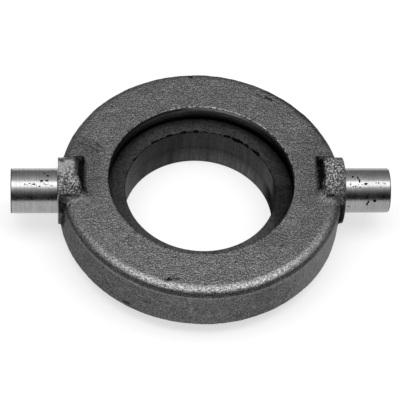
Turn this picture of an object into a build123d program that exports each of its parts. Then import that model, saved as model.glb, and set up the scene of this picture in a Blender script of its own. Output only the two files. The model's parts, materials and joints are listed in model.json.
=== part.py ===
"""Graphite clutch release bearing: an iron ring cast in one with its two trunnions,
and the plain graphite ring that is shrunk into it.

Millimetres, +Z up. The origin is the centre of the graphite's thrust face, on which the
bearing rests. Z is the axis of the bearing, and the trunnions lie along X.
"""

from build123d import *

import os

# Graphite ring
GRAPHITE_BORE = 50.4
GRAPHITE_WIDTH = 14.8
GRAPHITE_HEIGHT = 16.0
THRUST_FACE_CHAMFER = 1.0
SEATED_EDGE_CHAMFER = 1.0
LEDGE_EDGE_CHAMFER = 0.3

# Ring of the housing
HOUSING_WALL = 7.1
HOUSING_HEIGHT = 17.5
FLANGE_THICKNESS = 6.3
FLANGE_LAP = 9.1
RIM_ROUNDING = 3.3
FOOT_CHAMFER = 0.6
FLANGE_EDGE_CHAMFER = 0.4
SEAT_MOUTH_CHAMFER = 0.8
SEAT_CLEARANCE = 0.02

# Trunnion pins
PIN_DIAMETER = 15.0
PIN_LENGTH = 15.65
PIN_BELOW_BACK = 6.6
PIN_END_CHAMFER = 0.3
PIN_ROOT_CHAMFER = 0.5

# Cast bosses that carry the pins
BOSS_DIAMETER = 22.2
BOSS_STAND_OUT = 0.5
BOSS_LENGTH = 6.5
BOSS_END_SLOPE = 22.0
BOSS_CREST_ROUNDING = 0.5
BOSS_FOOT_FILLET = 0.9

# How far the rough casting, and each cut, runs past a surface that is machined
ALLOWANCE = 2.0

# Radii from the axis of the bearing
BORE_R = GRAPHITE_BORE / 2
GRAPHITE_R = BORE_R + GRAPHITE_WIDTH
SEAT_R = GRAPHITE_R + SEAT_CLEARANCE
FLANGE_BORE_R = GRAPHITE_R - FLANGE_LAP
HOUSING_R = SEAT_R + HOUSING_WALL
BOSS_FACE_X = HOUSING_R + BOSS_STAND_OUT
PIN_END_X = BOSS_FACE_X + PIN_LENGTH

# Heights above the thrust face
LEDGE_Z = GRAPHITE_HEIGHT
BACK_Z = LEDGE_Z + FLANGE_THICKNESS
FOOT_Z = BACK_Z - HOUSING_HEIGHT
PIN_Z = BACK_Z - PIN_BELOW_BACK

# Radii from the axis of the trunnions
PIN_R = PIN_DIAMETER / 2
BOSS_R = BOSS_DIAMETER / 2
CASTING_BOTTOM_Z = min(FOOT_Z, PIN_Z - BOSS_R - BOSS_FOOT_FILLET) - ALLOWANCE


def corner(section, out, up):
    """The corner of a lathe section, still flat in its sketch, that is nearest to a place."""
    return section.vertices().sort_by_distance((out, up))[0]


def casting_ring():
    """The rough ring, unbored and deep enough for the blend to run right round each boss."""
    depth = BACK_Z - CASTING_BOTTOM_Z
    disc = Pos(0, 0, BACK_Z) * Cylinder(
        HOUSING_R, depth, align=(Align.CENTER, Align.CENTER, Align.MAX)
    )
    return fillet(disc.edges().group_by(Axis.Z)[-1], RIM_ROUNDING)


def trunnion():
    """The boss and pin on the +X side, turned about their own axis.

    The end of the boss towards the bore slopes, as the pattern needs it to leave the mould.
    """
    crest_x = BOSS_FACE_X - BOSS_LENGTH
    inner_x = crest_x - BOSS_R
    with BuildPart() as body:
        with BuildSketch(Plane.XZ) as section:
            with BuildLine():
                Polyline(
                    (inner_x, PIN_Z),
                    (inner_x, PIN_Z + BOSS_R),
                    (BOSS_FACE_X, PIN_Z + BOSS_R),
                    (BOSS_FACE_X, PIN_Z + PIN_R),
                    (PIN_END_X, PIN_Z + PIN_R),
                    (PIN_END_X, PIN_Z),
                    close=True,
                )
            make_face()
            chamfer(corner(section, BOSS_FACE_X, PIN_Z + PIN_R), PIN_ROOT_CHAMFER)
            chamfer(corner(section, PIN_END_X, PIN_Z + PIN_R), PIN_END_CHAMFER)
        revolve(axis=Axis((0, 0, PIN_Z), (1, 0, 0)))
        outward = Vector(1, 0, 0).rotate(Axis.Y, BOSS_END_SLOPE)
        split(bisect_by=Plane((crest_x, 0, PIN_Z + BOSS_R), z_dir=outward), keep=Keep.TOP)
        fillet(body.edges().filter_by(GeomType.ELLIPSE), BOSS_CREST_ROUNDING)
    return body.part


def casting():
    """The iron casting: ring, bosses and pins in one, with the blend where a boss meets the ring."""
    ring = casting_ring()
    right = trunnion()
    left = mirror(right, about=Plane.YZ)
    joined = ring + right + left
    return joined.fillet(BOSS_FOOT_FILLET, new_edges(ring, right, left, combined=joined))


def turned(section):
    """What a lathe section sweeps round the axis of the bearing."""
    return revolve(section, axis=Axis.Z)


def bored():
    """What the lathe takes out of the casting: the bore of the flange and the graphite's seat."""
    with BuildSketch(Plane.XZ) as section:
        with BuildLine():
            Polyline(
                (0, CASTING_BOTTOM_Z - ALLOWANCE),
                (SEAT_R + SEAT_MOUTH_CHAMFER, CASTING_BOTTOM_Z - ALLOWANCE),
                (SEAT_R + SEAT_MOUTH_CHAMFER, FOOT_Z),
                (SEAT_R, FOOT_Z + SEAT_MOUTH_CHAMFER),
                (SEAT_R, LEDGE_Z),
                (FLANGE_BORE_R, LEDGE_Z),
                (FLANGE_BORE_R, BACK_Z - FLANGE_EDGE_CHAMFER),
                (FLANGE_BORE_R + FLANGE_EDGE_CHAMFER + ALLOWANCE, BACK_Z + ALLOWANCE),
                (0, BACK_Z + ALLOWANCE),
                close=True,
            )
        make_face()
    return turned(section.sketch)


def faced():
    """What the lathe takes off below the foot, with the chamfer that it leaves on the foot's edge."""
    reach_x = BOSS_FACE_X + FOOT_CHAMFER
    chamfer_x = HOUSING_R - FOOT_CHAMFER
    with BuildSketch(Plane.XZ) as section:
        with BuildLine():
            Polyline(
                (0, CASTING_BOTTOM_Z - ALLOWANCE),
                (reach_x, CASTING_BOTTOM_Z - ALLOWANCE),
                (reach_x, FOOT_Z + reach_x - chamfer_x),
                (chamfer_x, FOOT_Z),
                (0, FOOT_Z),
                close=True,
            )
        make_face()
    return turned(section.sketch)


def housing():
    """The casting once it is bored and faced."""
    return casting() - bored() - faced()


def graphite_ring():
    """The graphite: a plain ring, its back against the flange and its thrust face below the foot."""
    with BuildSketch(Plane.XZ) as section:
        with BuildLine():
            Polyline(
                (BORE_R, 0), (GRAPHITE_R, 0), (GRAPHITE_R, LEDGE_Z), (BORE_R, LEDGE_Z), close=True
            )
        make_face()
        chamfer([corner(section, BORE_R, 0), corner(section, GRAPHITE_R, 0)], THRUST_FACE_CHAMFER)
        chamfer(corner(section, GRAPHITE_R, LEDGE_Z), SEATED_EDGE_CHAMFER)
        chamfer(corner(section, BORE_R, LEDGE_Z), LEDGE_EDGE_CHAMFER)
    return turned(section.sketch)


os.makedirs("parts", exist_ok=True)
export_step(housing(), "parts/housing.step")
export_step(graphite_ring(), "parts/graphite_ring.step")
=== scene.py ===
"""Looks of the graphite clutch release bearing: the rough iron housing with its turned trunnions,
the graphite ring inside it, and the plain studio that they lie in.

The file is laid out as an add-on. Lengths are in metres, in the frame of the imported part.
"""

import json
import math
import random

import bmesh
import bpy
import numpy as np
from bpy.props import FloatProperty, FloatVectorProperty, IntProperty, PointerProperty
from mathutils import Matrix, Vector, geometry, noise


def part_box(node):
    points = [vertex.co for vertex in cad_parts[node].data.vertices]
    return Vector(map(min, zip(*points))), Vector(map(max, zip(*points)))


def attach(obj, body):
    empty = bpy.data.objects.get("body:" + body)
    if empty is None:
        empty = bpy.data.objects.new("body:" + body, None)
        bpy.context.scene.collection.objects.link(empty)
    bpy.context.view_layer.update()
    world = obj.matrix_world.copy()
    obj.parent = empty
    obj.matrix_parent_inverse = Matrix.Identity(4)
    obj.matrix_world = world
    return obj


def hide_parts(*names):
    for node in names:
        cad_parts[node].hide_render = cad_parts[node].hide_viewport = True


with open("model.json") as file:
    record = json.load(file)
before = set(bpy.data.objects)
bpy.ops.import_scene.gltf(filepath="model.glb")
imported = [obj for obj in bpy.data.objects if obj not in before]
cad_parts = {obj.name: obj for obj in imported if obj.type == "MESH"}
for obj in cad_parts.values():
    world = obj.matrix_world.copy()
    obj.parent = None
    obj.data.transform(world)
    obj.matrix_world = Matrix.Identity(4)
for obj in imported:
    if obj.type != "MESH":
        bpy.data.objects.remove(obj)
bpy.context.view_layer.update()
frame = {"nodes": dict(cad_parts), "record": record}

bl_info = {
    "name": "Graphite release bearing",
    "version": (1, 0, 0),
    "blender": (4, 5, 0),
    "location": "3D View > Sidebar > Bearing",
    "description": "Builds the looks of a graphite clutch release bearing round its CAD frame",
    "category": "Object",
}

MM = 0.001

HOUSING_LOW, HOUSING_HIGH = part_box("housing")
_, GRAPHITE_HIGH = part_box("graphite_ring")
MOUNTS = {mount["name"]: mount for mount in frame["record"]["mounts"]}
BORE = MOUNTS["shaft_bore"]
PIN = MOUNTS["trunnion_right"]


def cad_points(node):
    """Every point of a CAD node's mesh, as one array."""
    mesh = frame["nodes"][node].data
    points = np.empty(len(mesh.vertices) * 3, np.float32)
    mesh.vertices.foreach_get("co", points)
    return points.reshape(-1, 3)


def flange_bore():
    """Radius of the opening in the flange, the least distance of the iron from the axis."""
    points = cad_points("housing")
    return float(np.hypot(points[:, 0], points[:, 1]).min())


def back_height():
    """Height of the flange's back, which is the highest iron near the opening."""
    points = cad_points("housing")
    near = np.hypot(points[:, 0], points[:, 1]) < GRAPHITE_HIGH.x * 0.9
    return float(points[near, 2].max())


# Sizes, colours and places that a user would change


def length_property(name, description, default):
    """A property that holds a length."""
    return FloatProperty(name=name, description=description, default=default, unit="LENGTH")


def angle_property(name, description, degrees):
    """A property that holds an angle."""
    default = math.radians(degrees)
    return FloatProperty(name=name, description=description, default=default, unit="ROTATION")


def grey_property(name, description, level):
    """A property that holds a colour, and starts as a grey."""
    grey = (level, level, level)
    return FloatVectorProperty(name=name, description=description, default=grey, subtype="COLOR")


class BearingSizes(bpy.types.PropertyGroup):
    """Lengths of the bearing, most of them read from the CAD frame."""

    graphite_radius: length_property(
        "Graphite radius", "Outside radius of the graphite ring", GRAPHITE_HIGH.x
    )
    graphite_height: length_property(
        "Graphite height", "Height of the graphite, from thrust face to flange", GRAPHITE_HIGH.z
    )
    graphite_bore: length_property(
        "Graphite bore", "Radius of the bore of the graphite ring", BORE["dims"]["r_mm"] * MM
    )
    graphite_chamfer: length_property(
        "Graphite chamfer", "Chamfer on the outside edges of the graphite ring", 1.0 * MM
    )
    graphite_edge: length_property(
        "Graphite edge", "Chamfer on both edges of the graphite's bore", 0.2 * MM
    )
    flange_bore: length_property(
        "Flange bore", "Radius of the opening in the flange", flange_bore()
    )
    flange_chamfer: length_property(
        "Flange chamfer", "Chamfer round the opening, at the back of the flange", 0.4 * MM
    )
    back_height: length_property(
        "Back height", "Height of the flange's back over the thrust face", back_height()
    )
    foot_height: length_property(
        "Foot height", "Height of the housing's open end over the thrust face", HOUSING_LOW.z
    )
    seat_clearance: length_property(
        "Seat clearance", "Line between the graphite and its seat", 0.02 * MM
    )
    seat_mouth: length_property("Seat mouth", "Chamfer at the mouth of the seat", 0.8 * MM)
    pin_radius: length_property(
        "Pin radius", "Radius of the trunnion pins", PIN["dims"]["r_mm"] * MM
    )
    pin_height: length_property(
        "Pin height", "Height of the trunnions' axis over the thrust face", PIN["pos_m"][2]
    )
    pin_end: length_property(
        "Pin end", "Distance of a pin's end from the axis of the bearing", HOUSING_HIGH.x
    )
    pin_root: length_property(
        "Pin root", "Radius that the tool leaves where a pin meets its boss", 0.5 * MM
    )
    pin_chamfer: length_property("Pin chamfer", "Chamfer on the end of a pin", 0.3 * MM)
    boss_face: length_property(
        "Boss face",
        "Distance of the turned end of a boss from the axis of the bearing",
        PIN["pos_m"][0] - PIN["dims"]["length_mm"] * MM / 2 - 0.5 * MM,
    )
    boss_spare: length_property(
        "Boss spare", "Length by which the rough bosses run past their turned ends", 1.2 * MM
    )
    skin_cell: length_property(
        "Skin cell", "Size of the cells that the cast skin is built from", 0.4 * MM
    )
    skin_swell: length_property(
        "Skin swell", "Height of the broad swells in the cast skin", 0.10 * MM
    )
    skin_grain: length_property(
        "Skin grain", "Height of the sand grain in the cast skin", 0.05 * MM
    )
    skin_pit: length_property("Skin pit", "Depth of the pits in the cast skin", 0.10 * MM)


class BearingFinish(bpy.types.PropertyGroup):
    """Colours of the finishes."""

    skin: grey_property("Cast skin", "Colour of the cast skin", 0.178)
    # This dark colour is the scale in the hollows, and it also paints shade: in the hollows, on the
    # fronts of the bosses, on upright walls and in the band under the rim
    scale: grey_property(
        "Burnt scale", "Colour of the burnt sand and scale in the hollows of the casting", 0.02
    )
    # This colour also paints the highlight along the front of the rim
    worn: grey_property("Worn iron", "Colour of iron that is rubbed bright on proud edges", 0.36)
    turned: grey_property("Turned iron", "Colour of the turned pins", 0.36)
    # The wall's darker and lighter tones are painted shade and light
    bored: grey_property(
        "Bored iron", "Colour of the bored wall of the flange, dulled by dust", 0.05
    )
    graphite: grey_property("Graphite", "Colour of the graphite", 0.040)
    # This colour also paints the shade inside chips and pores, and the marks of painted shade
    broken: grey_property("Broken graphite", "Colour inside chips, open pores and stains", 0.002)


class BearingStage(bpy.types.PropertyGroup):
    """The studio: camera, softbox, sky and floor."""

    camera_place: FloatVectorProperty(
        name="Camera place",
        description="Where the camera stands",
        default=(-0.05338, -0.43247, 0.57018),
        subtype="TRANSLATION",
        unit="LENGTH",
    )
    camera_azimuth: angle_property(
        "Camera azimuth", "Turn of the camera's line of sight about the upright axis", -7.056
    )
    camera_elevation: angle_property(
        "Camera elevation", "Angle at which the camera looks down", 52.095
    )
    camera_roll: angle_property(
        "Camera roll", "Turn of the camera about its line of sight", 5.489
    )
    camera_lens: FloatProperty(
        name="Camera lens",
        description="Focal length in millimetres, on a sensor 36 mm wide",
        default=189.52,
    )
    softbox_height: length_property(
        "Softbox height", "Height of the softbox over the thrust face", 0.6
    )
    softbox_width: length_property("Softbox width", "Size of the softbox from side to side", 0.9)
    softbox_depth: length_property("Softbox depth", "Size of the softbox from front to back", 0.3)
    softbox_power: FloatProperty(
        name="Softbox power", description="Power of the softbox in watts", default=1.9
    )
    sky_level: FloatProperty(
        name="Sky level", description="Brightness of the room round the bearing", default=1.0
    )
    floor_colour: grey_property("Floor", "Colour of the floor", 0.46)
    floor_glow: FloatProperty(
        name="Floor glow",
        description="Brightness that the floor is shown with over what the lamps give it",
        default=0.64,
    )
    floor_radius: length_property("Floor radius", "Radius of the floor", 1.6)
    seed: IntProperty(name="Seed", description="Seed of everything that is scattered", default=7)


# Meshes


def new_piece(name, bm):
    """A mesh object made from a bmesh, which is freed."""
    mesh = bpy.data.meshes.new(name)
    bm.to_mesh(mesh)
    bm.free()
    piece = bpy.data.objects.new(name, mesh)
    bpy.context.scene.collection.objects.link(piece)
    return piece


def apply_modifiers(piece):
    """Gives a piece the mesh that its modifiers make, and takes them off."""
    shown = piece.evaluated_get(bpy.context.evaluated_depsgraph_get())
    mesh = bpy.data.meshes.new_from_object(shown)
    piece.modifiers.clear()
    piece.data = mesh


def lathe(name, outline, steps, axis, centre=Vector((0, 0, 0)), across=Vector((1, 0, 0))):
    """The shell that an outline sweeps in a full turn.

    Each point of the outline is (distance from the axis, distance along it).
    """
    bm = bmesh.new()
    verts = [bm.verts.new(centre + across * away + axis * along) for away, along in outline]
    edges = [bm.edges.new(pair) for pair in zip(verts, verts[1:])]
    bmesh.ops.spin(
        bm, geom=verts + edges, cent=centre, axis=axis, angle=math.tau, steps=steps, use_merge=True
    )
    bmesh.ops.remove_doubles(bm, verts=bm.verts, dist=1e-7)
    bmesh.ops.recalc_face_normals(bm, faces=bm.faces)
    return new_piece(name, bm)


def combine(piece, other, operation):
    """Joins a shell to a piece, or cuts it out, and removes the shell."""
    boolean = piece.modifiers.new(operation, "BOOLEAN")
    boolean.operation = operation
    boolean.solver = "MANIFOLD"
    boolean.object = other
    apply_modifiers(piece)
    bpy.data.objects.remove(other)


def rounded(radius, start, end, centre, steps):
    """Points of an arc, as (distance from the axis, distance along it)."""
    turns = [start + (end - start) * step / steps for step in range(steps + 1)]
    return [
        (centre[0] + radius * math.cos(turn), centre[1] + radius * math.sin(turn))
        for turn in turns
    ]


# Housing


def casting_blank(sizes):
    """The rough casting: a merged copy of the CAD housing, its bore filled and its pins off."""
    hair = 0.01 * MM
    mouth_radius = sizes.graphite_radius + sizes.seat_clearance + sizes.seat_mouth + hair
    edge_radius = sizes.flange_bore + sizes.flange_chamfer + hair
    bm = bmesh.new()
    bm.from_mesh(frame["nodes"]["housing"].data)
    bmesh.ops.remove_doubles(bm, verts=bm.verts, dist=hair / 10)
    bored = []
    for face in bm.faces:
        widest = max(vert.co.xy.length for vert in face.verts)
        highest = max(vert.co.z for vert in face.verts)
        inside = widest < mouth_radius and highest < sizes.back_height - hair
        if inside or widest < edge_radius:
            bored.append(face)
    bmesh.ops.delete(bm, geom=bored, context="FACES")
    for side in (1, -1):
        bmesh.ops.bisect_plane(
            bm,
            geom=bm.verts[:] + bm.edges[:] + bm.faces[:],
            plane_co=(side * (sizes.boss_face + hair), 0, 0),
            plane_no=(side, 0, 0),
            clear_outer=True,
        )
    bmesh.ops.holes_fill(bm, edges=[edge for edge in bm.edges if edge.is_boundary])
    for side in (1, -1):
        ends = [
            face
            for face in bm.faces
            if min(side * vert.co.x for vert in face.verts) > sizes.boss_face - hair
        ]
        longer = bmesh.ops.extrude_face_region(bm, geom=ends)
        bmesh.ops.delete(bm, geom=ends, context="FACES")
        moved = [part for part in longer["geom"] if isinstance(part, bmesh.types.BMVert)]
        bmesh.ops.translate(bm, verts=moved, vec=(side * sizes.boss_spare, 0, 0))
    bmesh.ops.recalc_face_normals(bm, faces=bm.faces)
    return new_piece("casting", bm)


def even_skin(piece, cell):
    """Rebuilds a piece in even cells that lie on its old surface."""
    pattern = piece.copy()
    bpy.context.scene.collection.objects.link(pattern)
    remesh = piece.modifiers.new("Cells", "REMESH")
    remesh.mode = "VOXEL"
    remesh.voxel_size = cell
    wrap = piece.modifiers.new("Seat", "SHRINKWRAP")
    wrap.target = pattern
    apply_modifiers(piece)
    bpy.data.objects.remove(pattern)


def mesh_arrays(mesh):
    """A mesh's points, their normals, and a function that averages each point's neighbours."""
    count = len(mesh.vertices)
    places = np.empty(count * 3, np.float32)
    normals = np.empty(count * 3, np.float32)
    ends = np.empty(len(mesh.edges) * 2, np.int32)
    mesh.vertices.foreach_get("co", places)
    mesh.vertices.foreach_get("normal", normals)
    mesh.edges.foreach_get("vertices", ends)
    others = ends.reshape(-1, 2)[:, ::-1].ravel()
    neighbours = np.bincount(ends, minlength=count)[:, None]

    def average(values):
        sums = [np.bincount(ends, values[others, axis], count) for axis in range(3)]
        return np.stack(sums, 1) / neighbours

    return places.reshape(-1, 3), normals.reshape(-1, 3), average


def surroundings(mesh, rounds):
    """How deep each point lies in a hollow, in metres, against the mean of the points round it.

    The normals of the points come with it.
    """
    places, normals, average = mesh_arrays(mesh)
    mean = places
    for _ in range(rounds):
        mean = average(mean)
    return ((mean - places) * normals).sum(1), normals


# Where the foundry's sand slumped and left a soft corner in front of a boss, in millimetres:
# middle, reach and rounds of softening
SLUMPS = (
    ((40.0, -8.0, 22.3), 4.2, 34),
    ((-40.0, -8.0, 22.3), 4.2, 34),
    ((45.0, -9.6, 21.6), 3.4, 7),
    ((-45.0, -9.6, 21.6), 3.4, 7),
)


def slump(piece):
    """Softens the corners at the SLUMPS, fully up to half their reach and less and less past it."""
    mesh = piece.data
    places, _, average = mesh_arrays(mesh)
    for middle, reach, rounds in SLUMPS:
        away = np.linalg.norm(places - np.array(middle) * MM, axis=1)
        share = np.clip((reach * MM - away) / (reach * MM * 0.5), 0, 1)[:, None]
        for _ in range(rounds):
            places = places + (average(places) - places) * share
    mesh.vertices.foreach_set("co", places.astype(np.float32).ravel())
    mesh.update()


def keep_value(mesh, name, values):
    """Stores one number a point as an attribute that materials read."""
    stored = mesh.attributes.new(name, "FLOAT", "POINT")
    stored.data.foreach_set("value", np.asarray(values, np.float32))


def straight_ramp(values, start, width):
    """0 up to the start, 1 from one width past it, and straight between."""
    return np.clip((values - start) / width, 0, 1)


def ramp(value, low, high):
    """0 at or below low, 1 at or above high, and smooth between."""
    share = min(max((value - low) / (high - low), 0), 1)
    return share * share * (3 - 2 * share)


# Marks on the casting, in millimetres: from, to, half width, depth and how dark they are,
# which is below 0 where a mark is a pale scuff. Besides stains, dents and scuffs, the marks round
# the bosses and along the back of the rim paint shade.
MARKS = (
    ((-12.2, -40.5, 22.3), (-12.9, -41.3, 22.2), 0.5, 0.2, 0.95),
    ((-13.0, -40.9, 22.3), (-11.9, -41.2, 22.2), 0.5, 0.2, 0.9),
    ((-11.6, -40.6, 22.3), (-8.9, -40.9, 22.3), 0.35, 0.12, 0.8),
    ((-13.6, -41.4, 22.2), (-14.4, -41.2, 22.2), 0.45, 0.10, 0.6),
    ((23.8, 35.6, 22.3), (25.6, 34.5, 22.3), 0.55, 0.12, 0.9),
    ((25.9, 34.3, 22.3), (28.6, 32.9, 22.3), 0.40, 0.06, 0.35),
    ((20.6, 36.9, 22.3), (22.2, 36.2, 22.3), 0.60, 0.06, 0.45),
    ((18.4, 39.5, 22.3), (19.4, 39.0, 22.3), 0.60, 0.06, 0.4),
    # Painted shade along the back of the rim, on the right
    ((42.6, 16.6, 21.8), (38.4, 24.6, 21.8), 1.1, 0.0, 0.35),
    ((38.4, 24.6, 21.8), (32.0, 32.6, 21.8), 1.2, 0.0, 0.45),
    ((32.0, 32.6, 21.8), (24.0, 38.8, 21.8), 1.2, 0.0, 0.35),
    ((-41.8, 16.6, 22.3), (-33.6, 12.0, 22.3), 0.40, 0.12, 0.55),
    ((-34.6, 15.4, 22.3), (-33.4, 13.4, 22.3), 0.50, 0.12, 0.6),
    ((-40.0, 18.2, 22.3), (-38.6, 17.2, 22.3), 0.40, 0.08, 0.5),
    ((-2.2, 45.9, 22.2), (-1.6, 45.1, 22.3), 0.70, 0.25, 1.0),
    ((9.0, -34.4, 22.3), (9.6, -34.3, 22.3), 0.35, 0.10, 0.6),
    ((20.0, -26.0, 22.3), (24.0, -25.0, 22.3), 4.0, 0.0, 0.2),
    ((25.0, -27.6, 22.3), (25.6, -27.8, 22.3), 0.40, 0.10, 0.5),
    ((-44.2, -10.6, 22.3), (-45.6, -12.6, 21.9), 0.7, 0.12, 0.7),
    ((42.2, -7.4, 22.3), (42.8, -7.9, 22.3), 0.5, 0.10, 0.7),
    ((33.6, -28.0, 22.3), (34.4, -28.4, 22.3), 0.35, 0.08, 0.5),
    ((-0.9, -43.0, 22.2), (-0.3, -43.3, 22.1), 0.35, 0.08, 0.6),
    ((-38.0, 12.0, 22.3), (-39.0, -3.0, 22.3), 6.0, 0.0, 0.30),
    ((31.0, -26.0, 22.3), (37.0, -16.0, 22.3), 4.0, 0.0, 0.14),
    ((38.0, 14.0, 22.3), (37.0, -6.0, 22.3), 6.0, 0.0, 0.20),
    # The next 23 marks are painted shade round the bosses: their inner ends, their far corners, the
    # creases along their fronts, and the wall under them, some with a dent as well
    ((40.3, -1.5, 24.4), (40.3, 5.4, 24.4), 2.1, 0.0, 0.95),
    ((39.9, -4.6, 23.2), (40.1, -1.5, 23.8), 1.2, 0.0, 0.85),
    ((39.6, 5.4, 22.6), (39.6, 8.8, 22.4), 0.9, 0.0, 0.9),
    ((-40.9, -1.5, 24.4), (-40.9, 5.4, 24.4), 2.4, 0.0, 0.95),
    ((-41.3, -1.5, 26.0), (-41.3, 3.0, 25.9), 1.5, 0.0, 0.9),
    ((-41.3, 3.0, 25.9), (-41.2, 7.5, 24.2), 1.5, 0.0, 0.9),
    ((-47.0, 6.2, 24.9), (-44.0, 6.6, 24.6), 1.0, 0.0, 0.75),
    ((-44.0, 6.6, 24.6), (-42.0, 6.0, 25.0), 0.7, 0.0, 0.6),
    ((-47.6, -8.6, 22.0), (-42.0, -8.8, 21.8), 1.2, 0.0, 0.4),
    ((42.0, -8.8, 21.8), (47.6, -8.6, 22.0), 1.2, 0.0, 0.3),
    ((-46.8, -8.2, 23.3), (-41.6, -8.3, 23.2), 1.1, 0.0, 0.45),
    ((41.6, -8.3, 23.2), (46.6, -8.2, 23.3), 1.1, 0.0, 0.5),
    ((-39.9, -4.6, 23.2), (-40.1, -1.5, 23.8), 1.2, 0.0, 0.85),
    ((-39.6, 5.4, 22.6), (-39.6, 8.8, 22.4), 0.9, 0.0, 0.9),
    ((46.6, -10.0, 19.6), (46.8, -10.8, 13.0), 1.5, 0.2, 0.8),
    ((-47.2, -8.6, 22.2), (-46.8, -10.2, 18.6), 1.5, 0.2, 0.85),
    ((-46.0, -9.6, 20.6), (-45.4, -10.4, 20.6), 1.1, 0.2, 0.85),
    ((41.2, -8.1, 23.3), (43.0, -8.2, 23.3), 0.5, 0.15, 0.9),
    ((43.6, -8.3, 23.2), (45.2, -8.2, 23.3), 0.4, 0.10, 0.7),
    ((-40.8, -8.0, 23.2), (-43.4, -8.2, 23.1), 0.5, 0.10, 0.7),
    ((-43.4, -7.9, 23.4), (-47.0, -8.0, 23.3), 0.7, 0.10, 0.8),
    ((-47.2, 5.6, 25.1), (-46.2, 4.6, 25.8), 1.0, 0.1, 0.8),
    ((-47.4, -10.6, 17.2), (-47.2, -11.1, 12.0), 1.0, 0.0, 0.25),
    ((-44.0, 1.5, 26.6), (-43.4, 0.2, 26.7), 0.4, 0.1, 0.6),
    ((-45.6, -4.0, 26.0), (-44.6, -4.6, 25.8), 0.3, 0.1, 0.8),
    ((-42.6, -5.2, 25.5), (-43.4, -6.4, 24.8), 0.3, 0.1, 0.7),
    ((-46.4, -5.8, 25.2), (-45.8, -6.6, 24.6), 0.35, 0.1, 0.7),
    ((43.0, 3.0, 26.4), (43.6, 4.2, 26.0), 0.3, 0.1, 0.7),
    ((45.0, -3.0, 26.4), (44.4, -4.0, 26.0), 0.3, 0.1, 0.8),
    ((46.4, 5.4, 25.4), (46.0, 6.2, 24.8), 0.4, 0.1, 0.6),
    ((-26.0, -39.3, 7.0), (-25.0, -39.9, 7.2), 0.7, 0.1, 0.7),
    ((-20.0, -42.7, 12.0), (-18.4, -43.4, 12.6), 0.5, 0.1, 0.4),
    ((9.0, -46.3, 9.0), (12.0, -45.6, 8.4), 0.5, 0.1, 0.4),
    ((-34.6, -32.0, 12.2), (-33.2, -33.4, 13.0), 0.6, 0.0, -0.6),
    ((-31.6, -34.9, 10.6), (-30.6, -35.8, 10.2), 0.4, 0.0, -0.5),
    ((-5.7, -46.8, 18.2), (-4.9, -46.9, 10.5), 0.5, 0.0, -0.5),
    ((-7.4, -46.5, 17.4), (-6.8, -46.6, 13.0), 0.4, 0.0, -0.35),
    ((15.0, -44.7, 11.6), (15.8, -44.4, 11.2), 0.5, 0.0, -0.7),
    ((-22.0, -41.7, 14.0), (-20.6, -42.4, 14.6), 0.5, 0.0, -0.4),
    ((22.4, -41.4, 14.8), (24.4, -40.3, 15.2), 0.5, 0.0, -0.4),
    ((-41.6, -9.4, 22.3), (-43.4, -9.6, 22.2), 0.5, 0.0, -0.6),
    ((40.6, -9.2, 22.3), (43.4, -9.4, 22.2), 0.5, 0.0, -0.6),
    # Painted shade at the front feet of the bosses' inner ends
    ((-39.9, -5.2, 22.8), (-38.3, -6.0, 22.3), 0.6, 0.0, 0.85),
    ((40.0, -4.8, 22.8), (39.6, -6.0, 22.3), 0.6, 0.0, 0.85),
    ((-33.0, -33.6, 13.0), (-31.0, -35.5, 10.0), 0.6, 0.1, 0.35),
    ((26.0, -39.3, 9.0), (28.0, -37.9, 12.0), 0.6, 0.1, 0.3),
)


def near_mark(place):
    """How deep the marks go at a place, in metres, and how dark and how pale they make it."""
    edge_size, raggedness = 0.6 * MM, 0.8
    deepest, darkest, palest = 0.0, 0.0, 0.0
    for start, end, half_width, depth, dark in MARKS:
        start, end = Vector(start) * MM, Vector(end) * MM
        reach = (end - start).length + 3 * half_width * MM
        if (place - start).length_squared > reach**2:
            continue
        nearest, share = geometry.intersect_point_line(place, start, end)
        nearest = start.lerp(end, min(max(share, 0), 1))
        ragged = 1 + raggedness * noise.noise(place / edge_size)
        faded, full = 1.4 * half_width * MM * ragged, 0.4 * half_width * MM
        inside = ramp((place - nearest).length, faded, full)
        deepest = max(deepest, inside * depth * MM)
        darkest, palest = max(darkest, inside * dark), max(palest, -inside * dark)
    return deepest, darkest, palest


def boss_share(place, sizes):
    """1 on the bosses, 0 on the ring, and smooth between."""
    above = ramp(place.z, sizes.back_height + 0.2 * MM, sizes.back_height + 1.6 * MM)
    outside = ramp(abs(place.x), HOUSING_HIGH.y - 0.6 * MM, HOUSING_HIGH.y)
    return max(above, outside)


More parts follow.
